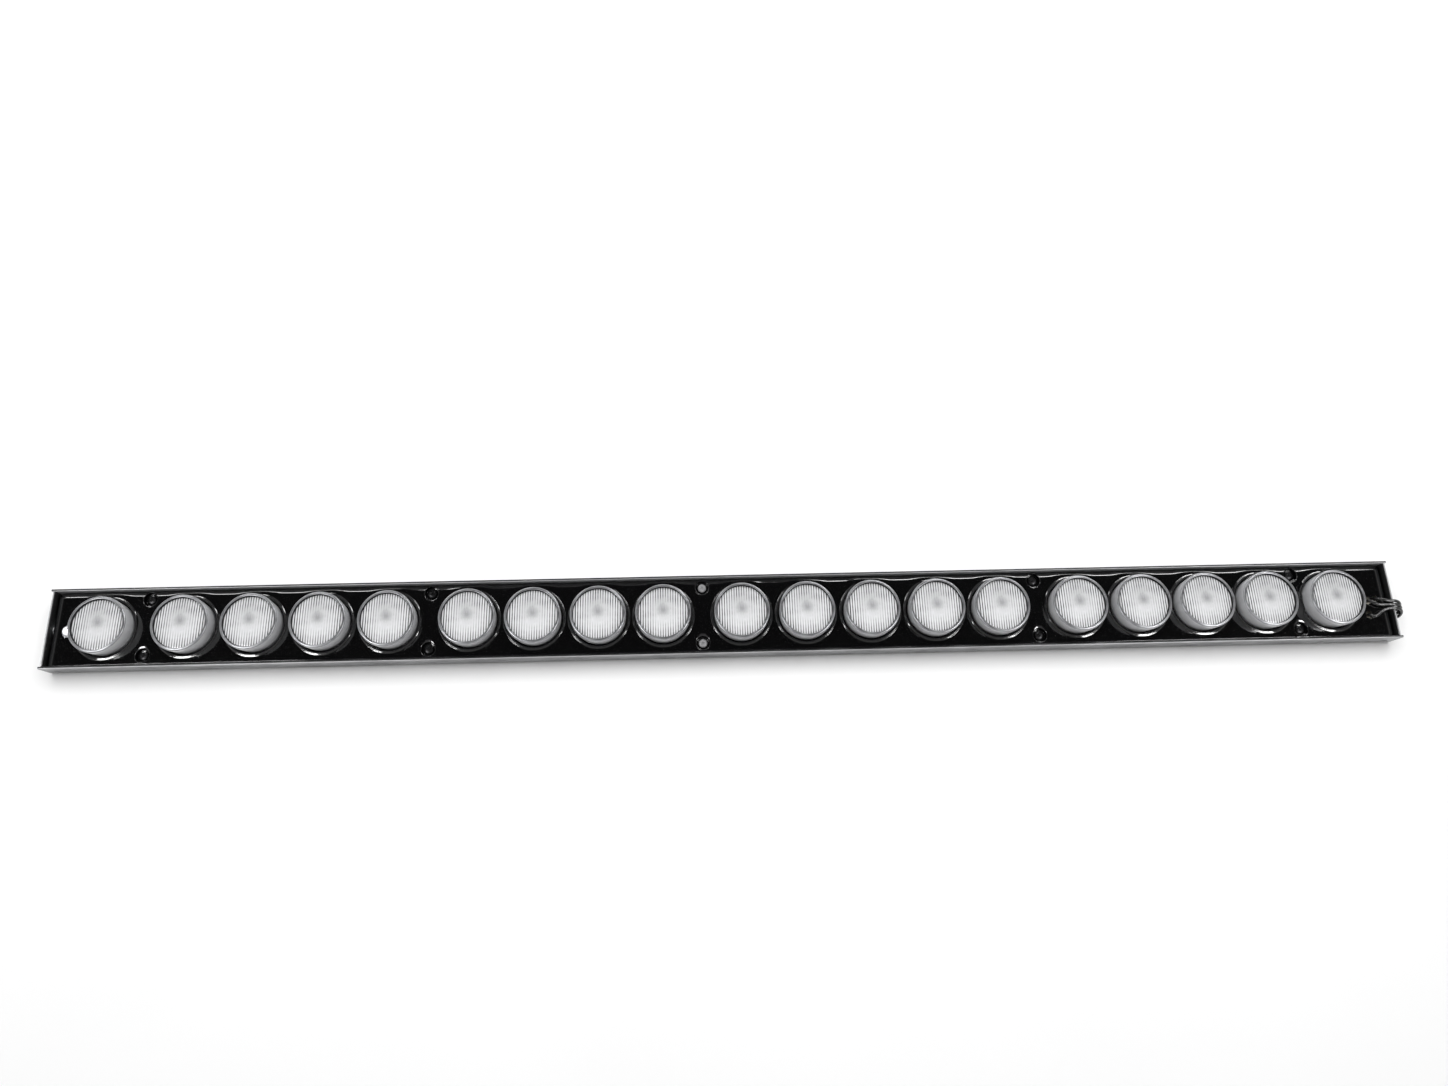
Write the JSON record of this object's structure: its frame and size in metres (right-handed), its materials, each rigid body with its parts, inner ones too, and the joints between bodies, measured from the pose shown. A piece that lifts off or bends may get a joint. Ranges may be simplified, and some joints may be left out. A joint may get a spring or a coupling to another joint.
{
  "type": "led strip batten",
  "caption": "Slim aluminium channel batten with a black formed tray and a row of round fluted-glass LED spot lamps facing out of it.",
  "frame": {"origin": "middle of the channel's back face, on the surface that the batten lies on", "axes": "+X along the channel towards the end with the leads, +Y across it, +Z out of the lamp fronts"},
  "size_m": [1.2271, 0.0732, 0.0395],
  "materials": {
    "channel_metal": "satin mill-finish sheet with fine lengthwise grain",
    "tray_plastic": "gloss black vacuum-formed sheet",
    "lamp_metal": "satin grey spun barrel with a bright rolled bezel",
    "lamp_glass": "clear fluted front glass over a silver reflector",
    "screw_metal": "pan-head screws, dull zinc",
    "lead_insulation": "semi-gloss black insulation",
    "bar_metal": "plain sheet, hidden under the tray",
    "terminal_plastic": "moulded cream plastic, hidden under the tray",
    "reflector_silver": "vacuum-metallised reflector",
    "led_chip": "phosphor-coated LED chip on a small board"
  },
  "bodies": {
    "root": {"channel": "channel_metal", "end_plate_left": "channel_metal", "end_plate_right": "channel_metal", "harness_clip": "screw_metal", "lamp_bar": "bar_metal", "lamp_glass_01": "lamp_glass", "lamp_glass_02": "lamp_glass", "lamp_glass_03": "lamp_glass", "lamp_glass_04": "lamp_glass", "lamp_glass_05": "lamp_glass", "lamp_glass_06": "lamp_glass", "lamp_glass_07": "lamp_glass", "lamp_glass_08": "lamp_glass", "lamp_glass_09": "lamp_glass", "lamp_glass_10": "lamp_glass", "lamp_glass_11": "lamp_glass", "lamp_glass_12": "lamp_glass", "lamp_glass_13": "lamp_glass", "lamp_glass_14": "lamp_glass", "lamp_glass_15": "lamp_glass", "lamp_glass_16": "lamp_glass", "lamp_glass_17": "lamp_glass", "lamp_glass_18": "lamp_glass", "lamp_glass_19": "lamp_glass", "lamp_housing_01": "lamp_metal", "lamp_housing_02": "lamp_metal", "lamp_housing_03": "lamp_metal", "lamp_housing_04": "lamp_metal", "lamp_housing_05": "lamp_metal", "lamp_housing_06": "lamp_metal", "lamp_housing_07": "lamp_metal", "lamp_housing_08": "lamp_metal", "lamp_housing_09": "lamp_metal", "lamp_housing_10": "lamp_metal", "lamp_housing_11": "lamp_metal", "lamp_housing_12": "lamp_metal", "lamp_housing_13": "lamp_metal", "lamp_housing_14": "lamp_metal", "lamp_housing_15": "lamp_metal", "lamp_housing_16": "lamp_metal", "lamp_housing_17": "lamp_metal", "lamp_housing_18": "lamp_metal", "lamp_housing_19": "lamp_metal", "lead_grommet": "lead_insulation", "lead_lower": "lead_insulation", "lead_middle": "lead_insulation", "lead_upper": "lead_insulation", "terminal_block": "terminal_plastic", "tray": "tray_plastic", "tray_screw_01": "screw_metal", "tray_screw_02": "screw_metal", "tray_screw_03": "screw_metal", "tray_screw_04": "screw_metal", "tray_screw_05": "screw_metal", "tray_screw_06": "screw_metal", "tray_screw_07": "screw_metal", "tray_screw_08": "screw_metal", "tray_screw_09": "screw_metal", "tray_screw_10": "screw_metal", "wiring_harness": "lead_insulation"}
  },
  "joints": []
}
